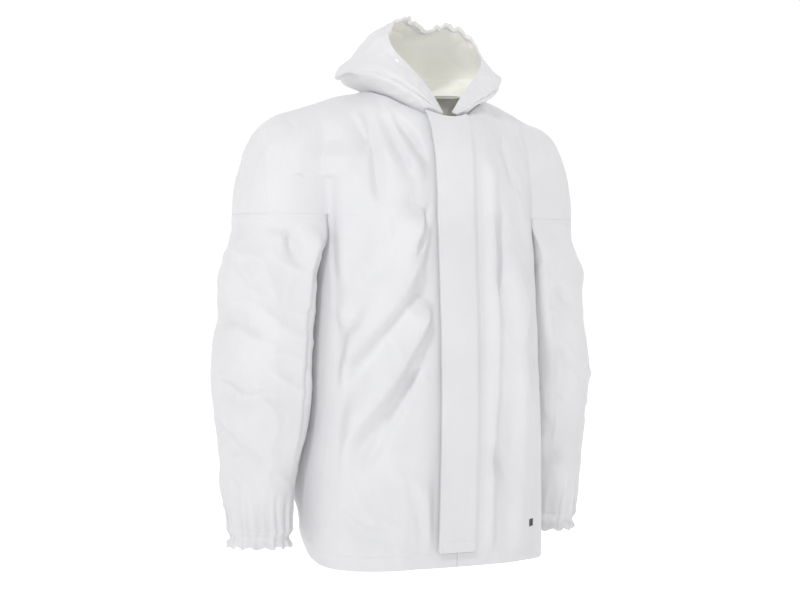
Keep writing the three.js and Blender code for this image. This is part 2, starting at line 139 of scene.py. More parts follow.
def noise(points, size, shift=0.0):
    """Value noise from -1 to 1: lattice values mixed smoothly; size is the lattice step, in millimetres."""
    q = points / np.asarray(size, float) + shift + 512
    i = np.floor(q).astype(int)
    f = smooth(q - i)
    total = 0
    for corner in np.ndindex(2, 2, 2):
        c = np.array(corner)
        weight = np.prod(np.where(c, f, 1 - f), axis=-1)
        j = (i + c) % 64
        total = total + weight * LATTICE[j[..., 0], j[..., 1], j[..., 2]]
    return 2 * total - 1


def ridged(points, size, shift=0.0):
    """Creased noise: one less the size of the noise, cubed, so that its zero line is a soft crest."""
    return (1 - np.abs(noise(points, size, shift))) ** 3


def stroke(u, v, line, height, soft, sharp, fade=45.0):
    """One fold along a line of (across, up) points: a bell across the line, wide on one side
    and narrow on the other, which dies away over fade at both ends."""
    line = np.asarray(line, float)
    best = np.full(u.shape, 1e9)
    side = np.zeros(u.shape)
    along = np.zeros(u.shape)
    start = 0.0
    for a, b in zip(line[:-1], line[1:]):
        d = b - a
        length = np.hypot(*d)
        t = np.clip(((u - a[0]) * d[0] + (v - a[1]) * d[1]) / length ** 2, 0, 1)
        du, dv = u - a[0] - t * d[0], v - a[1] - t * d[1]
        far = np.hypot(du, dv)
        nearer = far < best
        best = np.where(nearer, far, best)
        side = np.where(nearer, d[0] * dv - d[1] * du, side)
        along = np.where(nearer, start + t * length, along)
        start += length
    ends = smooth(along / fade + 0.15) * smooth((start - along) / fade + 0.15)
    width = np.where(side > 0, soft, sharp)
    return height * ends * np.exp(-(best / width) ** 2)


# Folds seen from the wearer's right front: (across, up) points, height, soft and sharp widths.
FRONT_FOLDS = [
    ([(44, -190), (-7, -313), (-88, -430), (-150, -560)], 11, 13, 44),
    ([(42, -330), (-15, -445), (-95, -560), (-128, -690)], 9, 12, 40),
    ([(-66, -20), (-50, -100), (-40, -180)], -3.5, 12, 6),
    ([(-38, -20), (-8, -92), (12, -150)], -3.5, 6, 13),
    ([(46, -170), (8, -275)], -8, 13, 6),
    ([(152, -62), (176, -110), (194, -165)], -4, 6, 14),
    ([(176, -84), (222, -160)], -4, 7, 14),
    ([(136, -95), (141, -380), (133, -735)], 4, 9, 15),
    ([(172, -247), (187, -528), (178, -740)], 6, 18, 11),
    ([(17, -600), (58, -748)], 4, 20, 10),
    ([(-198, -30), (-166, -68)], -3, 6, 11),
    ([(-234, -62), (-224, -110)], -3, 6, 11),
    ([(-120, -80), (-98, -214), (-116, -380)], 5, 46, 30),
    ([(20, -90), (-20, -190), (-110, -300)], 4, 20, 44),
    ([(-88, -30), (-66, -70), (-60, -110)], -4, 5, 12),
    ([(-20, -30), (16, -70), (40, -120)], -4, 5, 13),
    ([(-140, -50), (-150, -120), (-144, -190)], 4, 10, 26),
    ([(-60, -330), (-100, -420), (-150, -470)], -5, 8, 20),
    ([(30, -420), (-20, -520), (-70, -600)], -4, 8, 22),
    ([(-150, -250), (-120, -330), (-60, -400)], 4, 10, 26),
    ([(152, -175), (160, -260), (150, -330)], -4, 7, 14),
    ([(196, -300), (170, -400), (176, -500)], 4, 12, 20),
    ([(140, -560), (190, -640)], -4, 8, 18),
    ([(-130, -640), (-60, -690), (0, -700)], -3, 8, 18),
]
SLEEVE_FOLDS = [
    ([(-310, -372), (-262, -362), (-205, -392)], -5, 15, 7),
    ([(-300, -450), (-250, -480), (-196, -476)], -4.5, 8, 17),
    ([(-280, -250), (-240, -300), (-205, -320)], -4, 14, 8),
    ([(-300, -520), (-260, -560), (-205, -590)], -3.5, 8, 16),
    ([(-290, -590), (-250, -640)], -3, 7, 14),
    ([(-265, -205), (-262, -290)], 4, 16, 10),
    ([(-180, -204), (-166, -275)], -8, 6, 11),
    ([(-252, -206), (-200, -214), (-172, -222)], -5, 5, 10),
    ([(228, -300), (262, -320), (296, -352)], -4, 8, 14),
    ([(232, -390), (290, -440)], -5, 8, 15),
    ([(226, -470), (280, -500)], -4, 14, 8),
    ([(230, -560), (276, -600)], -3.5, 8, 14),
]
BACK_FOLDS = [
    ([(-30, -60), (-70, -260), (-60, -520)], 6, 30, 20),
    ([(60, -80), (86, -300), (70, -620)], 6, 20, 34),
    ([(150, -160), (120, -330), (130, -600)], 7, 16, 34),
    ([(-150, -160), (-128, -330), (-140, -640)], 7, 34, 16),
    ([(-20, -380), (10, -560), (0, -735)], 5, 26, 16),
    ([(-120, -40), (-150, -100)], -3, 7, 13),
    ([(120, -40), (152, -104)], -3, 7, 13),
]


def body_outward(p):
    """Outward direction of a boxy rounded body: the share of each half size, to the power 2.2 with its
    sign kept, made one long."""
    half = np.array([215.0, 132.0, 206.0])
    from_middle = np.stack([p[..., 0], p[..., 1] + 33, np.maximum(p[..., 2] - SEAM_Z, 0)], -1)
    d = power(from_middle / half, 2.2)
    return d / np.linalg.norm(d, axis=-1, keepdims=True)


def body_folds(p):
    """Height of the cloth's folds on fronts, back and yoke: listed folds and creased noise,
    none under the storm flap, little at the sleeve seams and at the neckline."""
    out = body_outward(p)
    across = p @ VIEW_ACROSS
    facing = smooth(0.5 + 1.6 * (out @ VIEW_BACK))
    rear = smooth(0.4 + 1.8 * out[..., 1])
    height = FRONT_GAIN * sum(stroke(across, p[..., 2], *fold) for fold in FRONT_FOLDS) * facing
    height = height + sum(stroke(p[..., 0], p[..., 2], *fold) for fold in BACK_FOLDS) * rear
    low_share = smooth((-120 - p[..., 2]) / 250)
    lean = np.stack([p[..., 0] + 0.35 * p[..., 2], p[..., 1], p[..., 2] - 0.35 * p[..., 0]], -1)
    height = height + 4.2 * low_share * noise(p, (75, 75, 330), 3.0)
    height = height + 3.0 * (ridged(lean, (70, 70, 190), 9.0) - 0.35)
    height = height + 1.3 * (ridged(lean, (34, 34, 60), 20.0) - 0.35)
    under_flap = (p[..., 1] < -60) * (1 - smooth((np.abs(p[..., 0] - 1) - 44) / 22))
    at_sleeve = smooth((np.abs(p[..., 0]) - 176) / 20) * (1 - smooth(np.abs(p[..., 2] - SEAM_Z) / 30))
    neck = np.hypot(p[..., 0] / NECK_X, (p[..., 1] - NECK_Y) / NECK_DEPTH)
    near_neck = (1 - smooth((neck - 1.0) / 0.25)) * (p[..., 2] > -80)
    height = BODY_GAIN * height
    at_side = smooth((np.abs(p[..., 0]) - 165) / 25) * (p[..., 2] < SEAM_Z + 60)
    height = mix(height, np.minimum(0.4 * height, 1.2), at_side)
    return height * (1 - under_flap) * (1 - 0.85 * at_sleeve) * (1 - 0.8 * near_neck)


def hem_settle(p, out):
    """The lowest cloth: soft waves outward, lifted and drawn in at the back corners."""
    angle = np.arctan2(p[..., 0], -(p[..., 1] - HEM_Y))
    near = smooth((-560 - p[..., 2]) / 190)
    calm = smooth((np.abs(angle) - 0.28) / 0.25) * (1 - 0.8 * smooth((np.abs(p[..., 0]) - 150) / 40))
    wave = 3.2 * np.sin(5 * angle + 0.6) + 2.2 * np.sin(9 * angle + 2.0)
    corner = np.exp(-((np.abs(angle) - 1.98) / 0.46) ** 2)
    moved = p + out * (near * calm * wave)[..., None]
    curl = near ** 2 * corner
    moved = moved - out * (20 * curl)[..., None]
    moved[..., 2] += 66 * curl
    return moved


# ---- surfaces ----
def body_at(s, z):
    """Half section of the body at height z: s runs 0 front centre, 1 front fold, 2 back fold, 3 back
    centre. The section mixes from the armhole's shape at the top to a boxy oval at the hem."""
    s, z = np.broadcast_arrays(np.asarray(s, float), np.asarray(z, float))
    drop = np.clip((SEAM_Z - z) / (SEAM_Z - HEM_Z), 0, 1)
    settle = 1 - (1 - drop) ** 2.5

    def hem_depth(x):
        """Half depth of the hem's boxy oval at x."""
        return HEM_HALF_DEPTH * (1 - np.abs(x / HEM_HALF_WIDTH) ** BOX) ** (1 / BOX)

    corner = hem_depth(FOLD_X)
    front_x = FOLD_X * s
    chest = -(ARM_FRONT + (CHEST_Y - ARM_FRONT) * (1 - power(s, 2.5)))
    front = mix(chest, HEM_Y - hem_depth(np.clip(front_x, 0, 205)), settle)
    front = front - BULGE * np.sin(np.pi * drop) * (1 - s * s)
    q = 3 - s
    rear = mix(ARM_BACK + (BACK_Y - ARM_BACK) * (1 - power(q, 2.5)),
               HEM_Y + hem_depth(np.clip(FOLD_X * q, 0, 205)), settle)
    r = np.clip(s - 1, 0, 1)
    low_side = mix(-corner, corner, r)
    side_x = mix(FOLD_X + (ARMPIT_X - FOLD_X) * 4 * r * (1 - r),
                 HEM_HALF_WIDTH * (1 - np.abs(low_side / HEM_HALF_DEPTH) ** BOX) ** (1 / BOX), drop ** 1.2)
    side_y = mix(mix(-ARM_FRONT, ARM_BACK, r), HEM_Y + low_side, settle)
    x = np.where(s <= 1, front_x, np.where(s >= 2, FOLD_X * q, side_x))
    y = np.where(s <= 1, front, np.where(s >= 2, rear, side_y))
    return np.stack([x, y, z], -1)


SHOULDER_LINE = [
    (NECK_X, NECK_Y, NECK_SIDE_Z - NECK_DROP / 8),
    (mix(NECK_X, SHOULDER_X, 0.28), -30, -9),
    (mix(NECK_X, SHOULDER_X, 0.55), -22, -28),
    (mix(NECK_X, SHOULDER_X, 0.76), -15, -44),
    (mix(NECK_X, SHOULDER_X, 0.88), -11, mix(-44, SEAM_Z, 0.22)),
    (mix(NECK_X, SHOULDER_X, 0.95), ARM_Y, mix(-44, SEAM_Z, 0.6)),
    (SHOULDER_X, ARM_Y, SEAM_Z),
]


def neckline(angle):
    """Oval neck edge by angle from the front centre, low at the front and level at the back."""
    low_share = ((1 + np.cos(angle)) / 2) ** 3
    return np.stack([NECK_X * np.sin(angle), NECK_Y - NECK_DEPTH * np.cos(angle),
                     NECK_SIDE_Z - NECK_DROP * low_share], -1)


def sleeve_top(k, face):
    """Outer armhole edge, level: a quarter of a boxy oval from the fold (0) to the outside (1)."""
    fold_y = -ARM_FRONT if face < 0 else ARM_BACK
    turn = k * np.pi / 2
    return np.stack([FOLD_X + (SHOULDER_X - FOLD_X) * power(np.sin(turn), CAP),
                     ARM_Y + (fold_y - ARM_Y) * power(np.cos(turn), CAP), np.full(np.shape(k), SEAM_Z)], -1)


def yoke_at(s, v, face):
    """Yoke from the level seam (v 0) to neckline or shoulder line (v 1): each column is a quarter of
    a boxy oval, upright at the bottom and flat at the top. s is 1 at the armpit fold, 2 outside."""
    s, v = np.broadcast_arrays(np.asarray(s, float), np.asarray(v, float))
    body = body_at(np.clip(s, 0, 1) if face < 0 else 3 - np.clip(s, 0, 1), SEAM_Z)
    base = np.where((s <= 1)[..., None], body, sleeve_top(np.clip(s - 1, 0, 1), face))
    reach = np.clip(s / NECK_SHARE, 0, 1) * np.pi / 2
    neck = neckline(reach if face < 0 else np.pi - reach)
    ridge = through(SHOULDER_LINE, ((s - NECK_SHARE) / (2 - NECK_SHARE)).ravel()).reshape(s.shape + (3,))
    top = np.where((s <= NECK_SHARE)[..., None], neck, ridge)
    turn = np.clip(v, 0, 1) * np.pi / 2
    inward = (1 - np.cos(turn) ** (2 / DOME))[..., None]
    rise = np.sin(turn) ** (2 / DOME)
    p = mix(base, top, inward)
    p[..., 2] = mix(base[..., 2], top[..., 2], rise)
    return p


SLEEVE_SECTIONS = np.array([
    [SEAM_Z, 250, 60, 80], [-300, 265, 65, 79], [-455, 277, 69, 77], [-600, 274, 58, 66],
    [CUFF_TOP, 270, 50, 56], [(CUFF_TOP + CUFF_Z) / 2, 270, 45, 49], [CUFF_Z, 270, 49, 52]])


def sleeve_section(z):
    """Centre x, half width and half depth of the sleeve at each height, mixed smoothly between sections."""
    heights = SLEEVE_SECTIONS[:, 0]
    i = np.clip(np.searchsorted(-heights, -z, side="right") - 1, 0, len(heights) - 2)
    t = smooth((z - heights[i]) / (heights[i + 1] - heights[i]))
    return [mix(SLEEVE_SECTIONS[i, k], SLEEVE_SECTIONS[i + 1, k], t) for k in (1, 2, 3)]


def sleeve_at(q, z):
    """Sleeve section round q: 0 front fold, 1 outside, 2 back fold, 3 armpit, 4 front fold again. It
    mixes from the armhole's shape to an oval in the first 100 mm."""
    q, z = np.broadcast_arrays(np.asarray(q, float), np.asarray(z, float))
    centre, wide, deep = sleeve_section(z)
    corner = np.pi * 0.75
    r = np.clip((q - 2) / 2, 0, 1)
    inner = np.stack([FOLD_X + 0.8 + (ARMPIT_X - FOLD_X) * 4 * r * (1 - r), mix(ARM_BACK, -ARM_FRONT, r),
                      np.full(q.shape, SEAM_Z)], -1)
    front_top = sleeve_top(np.clip(q, 0, 1), -1)
    back_top = sleeve_top(np.clip(2 - q, 0, 1), 1)
    outer = np.where((q <= 1)[..., None], front_top, back_top)
    top = np.where((q <= 2)[..., None], outer, inner)
    angle = np.where(q <= 2, corner * (q - 1), corner + (2 * np.pi - 2 * corner) * r)
    oval = np.stack([centre + wide * np.cos(angle), ARM_Y + deep * np.sin(angle), z], -1)
    settle = smooth((SEAM_Z - z) / 100)[..., None]
    p = mix(top, oval, settle)
    p[..., 2] = z
    return p, angle


FACE_EDGE = [(-4, -136, -37), (-28, -134, 0), (-55, -130, 30), (-82, -108, 68), (-80, -88, 99),
             (-45, -80, 126), (0, -68, 110), (35, -80, 118), (70, -88, 102), (87, -98, 66),
             (72, -112, 38), (38, -126, 6), (4, -136, -37)]
CROWN = [(-6, -140, -37), (-40, -140, -6), (-72, -134, 24), (-98, -108, 52), (-100, -60, 78),
         (-62, -14, 106), (0, 20, 98), (50, -10, 98), (96, -62, 72), (108, -100, 44),
         (90, -124, 22), (50, -136, -6), (6, -140, -37)]
WIDEST = [(-8, -141, -38), (-46, -142, -16), (-86, -130, 6), (-114, -96, 24), (-120, -30, 34),
          (-100, 56, 36), (0, 102, 56), (90, 62, 40), (122, -20, 36), (124, -88, 22),
          (98, -122, 4), (52, -140, -16), (8, -141, -38)]


def hood_at(u, v):
    """Hood from face edge (v 0) over crown and widest line down to the neckline (v 1), u from the
    wearer's right throat over the head to the left throat: a curve through four lines."""
    neck = neckline(-2 * np.pi * mix(0.03, 0.97, u))
    lines = [through(line, u) for line in (FACE_EDGE, CROWN, WIDEST)]
    return through(np.stack([*lines, neck]), v)


# ---- meshes ----
def normals(p, wrap=False):
    """Unit normals of a grid of points from its two differences, turned to no particular side."""
    if wrap:
        wide = np.concatenate([p[:, -2:-1], p, p[:, 1:2]], 1)
        along = (wide[:, 2:] - wide[:, :-2])
    else:
        along = np.gradient(p, axis=1)
    over = np.gradient(p, axis=0)
    n = np.cross(along, over)
    return n / np.maximum(np.linalg.norm(n, axis=-1, keepdims=True), 1e-9)


def outward_normals(p, way, wrap=False):
    """Unit normals of a grid of points, turned to the side of a rough outward direction."""
    n = normals(p, wrap)
    return -n if np.sum(n * way) < 0 else n


def new_object(name, points, faces, sharp=None, material_index=None, uv=None):
    """A mesh object from points in millimetres and faces, at the origin, unturned and unscaled."""
    mesh = bpy.data.meshes.new(name)
    mesh.from_pydata((np.asarray(points) * MM).tolist(), [], [tuple(f) for f in faces])
    mesh.polygons.foreach_set("use_smooth", np.ones(len(mesh.polygons), bool))
    if material_index is not None:
        mesh.polygons.foreach_set("material_index", np.asarray(material_index, np.int32))
    if sharp is not None and len(sharp):
        keys = np.zeros(len(mesh.edges) * 2, np.int32)
        mesh.edges.foreach_get("vertices", keys)
        keys = np.sort(keys.reshape(-1, 2), 1)
        count = len(points)
        wanted = np.unique(np.sort(np.asarray(sharp), 1) @ np.array([count, 1]))
        flags = np.isin(keys @ np.array([count, 1]), wanted)
        mesh.attributes.new("sharp_edge", "BOOLEAN", "EDGE").data.foreach_set("value", flags)
    if uv is not None:
        layer = mesh.uv_layers.new(name="cloth")
        corner = np.zeros(len(mesh.loops), np.int32)
        mesh.loops.foreach_get("vertex_index", corner)
        layer.data.foreach_set("uv", np.asarray(uv, np.float32)[corner].ravel())
    mesh.update()
    obj = bpy.data.objects.new(name, mesh)
    bpy.context.scene.collection.objects.link(obj)
    return obj


def arc_lengths(p):
    """Running length along each direction of a grid, through its middle row and column, in metres."""
    across = np.cumsum(np.r_[0, np.linalg.norm(np.diff(p[len(p) // 2], axis=0), axis=-1)])
    up = np.cumsum(np.r_[0, np.linalg.norm(np.diff(p[:, p.shape[1] // 2], axis=0), axis=-1)])
    a, b = np.meshgrid(across, up)
    return np.stack([a, b], -1) * MM


def cloth_shell(name, outer, out_hint, thickness=CLOTH, wrap=False, lift=0.0, n=None):
    """A sheet with thickness: a grid of outer points, the same points moved in along their normals, and
    a turned rim with sharp edges. wrap joins the last column to the first."""
    n = normals(outer, wrap) if n is None else n
    if np.sum(n * out_hint) < 0:
        n = -n
    uv = arc_lengths(outer)
    a, b = outer + n * lift, outer + n * (lift - thickness)
    if wrap:
        a, b, uv = a[:, :-1], b[:, :-1], uv[:, :-1]
    rows, cols = a.shape[:2]
    index = np.arange(rows * cols).reshape(rows, cols)
    right = np.roll(index, -1, axis=1) if wrap else index[:, 1:]
    left = index if wrap else index[:, :-1]
    quads = np.stack([left[:-1], right[:-1], right[1:], left[1:]], -1).reshape(-1, 4)
    count = rows * cols
    i, j = rows // 2, cols // 2
    test = np.cross(a[i, j + 1] - a[i, j - 1], a[i + 1, j] - a[i - 1, j])
    if np.dot(test, n[i, j]) < 0:
        quads = quads[:, ::-1]
    edge_pairs = np.concatenate([quads[:, [0, 1]], quads[:, [1, 2]], quads[:, [2, 3]], quads[:, [3, 0]]])
    code = edge_pairs[:, 0] * count + edge_pairs[:, 1]
    back = edge_pairs[:, 1] * count + edge_pairs[:, 0]
    rim_edges = edge_pairs[~np.isin(code, back)]
    rim = np.stack([rim_edges[:, 1], rim_edges[:, 0], rim_edges[:, 0] + count, rim_edges[:, 1] + count], -1)
    sharp = np.concatenate([rim_edges, rim_edges + count])
    faces = np.concatenate([quads, quads[:, ::-1] + count, rim])
    kinds = np.r_[np.zeros(len(quads), int), np.ones(len(quads), int), np.zeros(len(rim), int)]
    points = np.concatenate([a.reshape(-1, 3), b.reshape(-1, 3)])
    uvs = np.concatenate([uv.reshape(-1, 2)] * 2)
    return new_object(name, points, faces, sharp, kinds, uvs)


def side_of(p, side):
    """The wearer's left half (1) as it is, or its mirror on the right (-1)."""
    return p * np.array([side, 1, 1])


def body_surface(side, s, z):
    """Draped body grid for one side: the plain section pushed out by its folds and settled at the hem."""
    p = side_of(body_at(s[None, :], z[:, None]), side)
    out = body_outward(p)
    return hem_settle(p + out * body_folds(p)[..., None], out)


def yoke_surface(side, face, s, v):
    """Draped yoke grid for one side and face."""
    p = side_of(yoke_at(s[None, :], v[:, None], face), side)
    return p + body_outward(p) * body_folds(p)[..., None]


def sleeve_folds(p, angle, z, phase):
    """Folds of a sleeve: listed ones, a crumple above and below the elbow, and gathers at the cuff."""
    across = p @ VIEW_ACROSS
    out = np.stack([p[..., 0] - np.sign(p[..., 0]) * sleeve_section(z)[0], p[..., 1] - ARM_Y, 0 * z], -1)
    out = out / np.maximum(np.linalg.norm(out, axis=-1, keepdims=True), 1e-6)
    facing = smooth(0.55 + 1.2 * (out @ VIEW_BACK))
    height = SLEEVE_GAIN * sum(stroke(across, z, *fold) for fold in SLEEVE_FOLDS) * facing
    lean = np.stack([p[..., 0] * 1.0, p[..., 1], p[..., 2] + 0.6 * p[..., 0]], -1)
    height = height + 3.2 * noise(lean, (70, 70, 62), 31.0) + 4.2 * (ridged(lean, (64, 64, 46), 5.0) - 0.35)
    height = height + 1.5 * (ridged(lean, (30, 30, 34), 14.0) - 0.35)
    calm = smooth((SEAM_Z - z) / 45)
    height = height * calm
    gather = smooth((CUFF_TOP + 75 - z) / 75)
    tuck = noise(np.stack([38 * np.cos(angle), 38 * np.sin(angle), z * 0.08], -1), 13.0, 2.0)
    ruffle = np.sin(19 * angle + phase + 3.2 * tuck) + 0.5 * np.sin(31 * angle + 2.4 * tuck)
    inside = 1 - smooth(np.abs(z - (CUFF_Z + CUFF_TOP) / 2) / 9)
    height = height * (1 - 0.6 * gather) + gather * (1 - 0.55 * inside) * 2.6 * ruffle
    inner_front = np.exp(-((np.mod(angle, 2 * np.pi) - np.pi * 1.25) / 0.6) ** 2)
    height = height + 11 * inner_front * smooth((-215 - z) / 70) * smooth((z + 640) / 120)
    clear = smooth((np.abs(p[..., 0]) - 204) / 8) * 0.9 + 0.1
    return out, height * np.where(out[..., 0] * np.sign(p[..., 0]) < -0.5, clear * 0.6, 1)


def sleeve_surface(side, q, z):
    """Draped sleeve grid for one side: the section pushed out by its folds, moved forward where it lies
    against the body, with a waved edge at the cuff."""
    p, angle = sleeve_at(q[None, :], z[:, None])
    p = side_of(p, side)
    out, height = sleeve_folds(p, angle, p[..., 2].copy(), 6.0 * side)
    p = p + out * height[..., None]
    inner_front = np.exp(-((np.mod(angle, 2 * np.pi) - np.pi * 1.22) / 0.5) ** 2)
    beside_body = smooth((SEAM_Z - 4 - z) / 50) * smooth((z + 640) / 140)
    p[..., 1] -= SQUASH * inner_front * beside_body[:, None]
    edge = smooth((CUFF_TOP - 8 - z) / 20)[:, None]
    p[..., 2] += edge * 2.2 * np.sin(13 * angle + side) * smooth((CUFF_Z + 14 - z) / 14)[:, None]
    return p


def hood_surface(u, v):
    """Draped hood grid: soft folds running back from the face, and a gathered face edge over the head."""
    p = hood_at(u, v)
    n = outward_normals(p, p - HOOD_MIDDLE)
    uu, vv = np.meshgrid(u, v)
    open_share = smooth((uu - 0.06) / 0.1) * smooth((0.94 - uu) / 0.1)
    height = 5.0 * noise(p, (46, 60, 34), 6.0) + 3.6 * (ridged(p, (38, 70, 30), 1.5) - 0.35)
    height = height * open_share * smooth(vv / 0.2) * smooth((1 - vv) / 0.18)
    over_head = smooth((uu - 0.27) / 0.08) * smooth((0.74 - uu) / 0.08)
    tuck = noise(np.stack([uu * 400, vv * 30, 0 * uu], -1), 14.0, 8.0)
    ruffle = np.sin(2 * np.pi * 19 * uu + 2.2 * tuck) + 0.35 * np.sin(2 * np.pi * 37 * uu + 2 * tuck)
    at_back = smooth((uu - 0.26) / 0.1) * smooth((0.74 - uu) / 0.1)
    height = height - 9 * at_back * np.exp(-((vv - 0.74) / 0.06) ** 2)
    right_throat = smooth((uu - 0.03) / 0.05) * smooth((0.36 - uu) / 0.1)
    left_throat = smooth((0.97 - uu) / 0.05) * smooth((uu - 0.7) / 0.1)
    at_throat = right_throat + left_throat
    height = height - 4.5 * at_throat * np.exp(-((vv - 0.62 + 0.05 * np.sin(9 * uu)) / 0.05) ** 2)
    small = (ridged(p, (22, 40, 26), 17.0) - 0.35) * smooth(vv / 0.15) * smooth((1 - vv) / 0.2)
    height = height + 2.2 * at_throat * small
    reach = np.exp(-(vv / 0.16) ** 2) * (1 - 0.55 * np.exp(-((vv - 0.075) / 0.03) ** 2))
    height = height + over_head * reach * 2.7 * ruffle
    return p + n * height[..., None]


# ---- materials ----
def group_socket(tree, name, kind, out, default=None):
    """One input or output of a node group."""
    s = tree.interface.new_socket(name=name, in_out="OUTPUT" if out else "INPUT", socket_type=kind)
    if default is not None:
        s.default_value = default
    return s


def link(tree, a, b):
    """Joins an output socket to an input socket."""
    tree.links.new(a, b)


def maths(tree, operation, a, b=None, c=None):
    """A Math node on sockets or numbers, and its output."""
    node = tree.nodes.new("ShaderNodeMath")
    node.operation = operation
    for k, value in enumerate((a, b, c)):
        if value is None:
            continue
        if isinstance(value, (int, float)):
            node.inputs[k].default_value = value
        else:
            link(tree, value, node.inputs[k])
    return node.outputs[0]


def noise_texture(tree, vector, scale, detail, distortion=0.0):
    """Output of a noise texture on a vector."""
    node = tree.nodes.new("ShaderNodeTexNoise")
    node.inputs["Scale"].default_value = scale
    node.inputs["Detail"].default_value = detail
    node.inputs["Distortion"].default_value = distortion
    link(tree, vector, node.inputs["Vector"])
    return node.outputs[0]


def weave_group():
    """Plain weave under a coating: two crossed sets of fine ribs on the cloth's own lengths, softened by
    a pebbled coat. Puts out a height and a soft mottling mask."""
    tree = bpy.data.node_groups.new("coated_weave", "ShaderNodeTree")
    group_socket(tree, "Threads per metre", "NodeSocketFloat", False, 900.0)
    group_socket(tree, "Coat", "NodeSocketFloat", False, 0.5)
    group_socket(tree, "Height", "NodeSocketFloat", True)
    group_socket(tree, "Mottle", "NodeSocketFloat", True)
    start = tree.nodes.new("NodeGroupInput")
    end = tree.nodes.new("NodeGroupOutput")
    place = tree.nodes.new("ShaderNodeTexCoord")
    split = tree.nodes.new("ShaderNodeSeparateXYZ")
    link(tree, place.outputs["UV"], split.inputs[0])
    ribs = []
    for axis in ("X", "Y"):
        turns = maths(tree, "MULTIPLY", split.outputs[axis], start.outputs["Threads per metre"])
        ribs.append(maths(tree, "SINE", maths(tree, "MULTIPLY", turns, 2 * math.pi)))
    woven = maths(tree, "MULTIPLY", ribs[0], ribs[1])
    pebble = noise_texture(tree, place.outputs["Object"], 900.0, 3.0)
    coat = maths(tree, "MULTIPLY", maths(tree, "SUBTRACT", pebble, 0.5), start.outputs["Coat"])
    link(tree, maths(tree, "ADD", maths(tree, "MULTIPLY", woven, 0.35), coat), end.inputs["Height"])
    link(tree, noise_texture(tree, place.outputs["Object"], 9.0, 5.0), end.inputs["Mottle"])
    return tree


def crumple_group():
    """Small handling creases: two stretched noises turned into thin lines. Puts out a height."""
    tree = bpy.data.node_groups.new("handling_creases", "ShaderNodeTree")
    group_socket(tree, "Height", "NodeSocketFloat", True)
    end = tree.nodes.new("NodeGroupOutput")
    place = tree.nodes.new("ShaderNodeTexCoord")
    parts = []
    for scale, spin in ((14.0, 0.4), (26.0, -0.7)):
        mapping = tree.nodes.new("ShaderNodeMapping")
        mapping.inputs["Rotation"].default_value = (0.3, spin, spin * 2)
        mapping.inputs["Scale"].default_value = (1.0, 1.0, 0.35)
        link(tree, place.outputs["Object"], mapping.inputs["Vector"])
        lines = noise_texture(tree, mapping.outputs[0], scale, 2.0, 0.6)
        away = maths(tree, "ABSOLUTE", maths(tree, "SUBTRACT", lines, 0.5))
        near = maths(tree, "SUBTRACT", 1.0, maths(tree, "MULTIPLY", away, 3.0))
        parts.append(maths(tree, "POWER", near, 6.0))
    link(tree, maths(tree, "ADD", parts[0], maths(tree, "MULTIPLY", parts[1], 0.5)), end.inputs["Height"])
    return tree


WEAVE, CREASES = weave_group(), crumple_group()


def cloth_material(name, light, dark, roughness, sheen=0.15, threads=900.0, coat=0.5, weave_depth=0.00006,
                   crease_depth=0.0003, through=0.0):
    """Cloth: a little colour change by mottling, roughness by mottling, weave and creases as bump, and
    through, a painted glow: emission of the cloth's own colour that brightens it as if lit, in place of
    light coming through the thin cloth."""
    material = bpy.data.materials.new(name)
    material.use_nodes = True
    tree = material.node_tree
    shader = tree.nodes["Principled BSDF"]
    weave = tree.nodes.new("ShaderNodeGroup")
    weave.node_tree = WEAVE
    weave.inputs["Threads per metre"].default_value = threads
    weave.inputs["Coat"].default_value = coat
    creases = tree.nodes.new("ShaderNodeGroup")
    creases.node_tree = CREASES
    ramp = tree.nodes.new("ShaderNodeValToRGB")
    ramp.color_ramp.elements[0].position = 0.35
    ramp.color_ramp.elements[0].color = (*dark, 1)
    ramp.color_ramp.elements[1].position = 0.65
    ramp.color_ramp.elements[1].color = (*light, 1)
    link(tree, weave.outputs["Mottle"], ramp.inputs[0])
    link(tree, ramp.outputs[0], shader.inputs["Base Color"])
    rough = maths(tree, "MULTIPLY_ADD", weave.outputs["Mottle"], 0.16, roughness - 0.08)
    link(tree, rough, shader.inputs["Roughness"])
    shader.inputs["Sheen Weight"].default_value = sheen
    shader.inputs["Sheen Roughness"].default_value = 0.5
    shader.inputs["Specular IOR Level"].default_value = 0.35
    # painted glow: emission of the cloth's own colour makes it brighter as if lit; it stands in for light
    # coming through the cloth
    if through:
        link(tree, ramp.outputs[0], shader.inputs["Emission Color"])
        shader.inputs["Emission Strength"].default_value = through
    bump = tree.nodes.new("ShaderNodeBump")
    bump.inputs["Strength"].default_value = 1.0
    bump.inputs["Distance"].default_value = 1.0
    height = maths(tree, "ADD", maths(tree, "MULTIPLY", weave.outputs["Height"], weave_depth),
                   maths(tree, "MULTIPLY", creases.outputs["Height"], crease_depth))
    link(tree, height, bump.inputs["Height"])
    link(tree, bump.outputs[0], shader.inputs["Normal"])
    return material


COATED = cloth_material("coated_cloth", (0.79, 0.788, 0.8), (0.75, 0.75, 0.766), 0.5)
BACKING = cloth_material("cloth_backing", (0.86, 0.855, 0.80), (0.81, 0.805, 0.745),
                         0.85, 0.3, 1400.0, 0.3, 0.0001)
# the hood's inside: a copy of the backing with a painted glow (emission) that brightens its shaded interior
HOOD_BACKING_PAINTED_GLOW = cloth_material("hood_backing_painted_glow", (0.84, 0.835, 0.795), (0.77, 0.765, 0.72),
                              0.85, 0.3, 1400.0, 0.3, 0.0001, through=0.22)
TAPE = cloth_material("tape_cloth", (0.86, 0.86, 0.85), (0.80, 0.80, 0.79),
                      0.8, 0.3, 1100.0, 0.2, 0.00015, 0.0)
THREAD = cloth_material("sewing_thread", (0.86, 0.865, 0.87), (0.78, 0.785, 0.79),
                        0.6, 0.3, 2500.0, 0.2, 0.00005, 0.0)
PRINT = cloth_material("print_ink", (0.05, 0.05, 0.055), (0.03, 0.03, 0.035),
                       0.55, 0.0, 900.0, 0.6, 0.00006, 0.0)
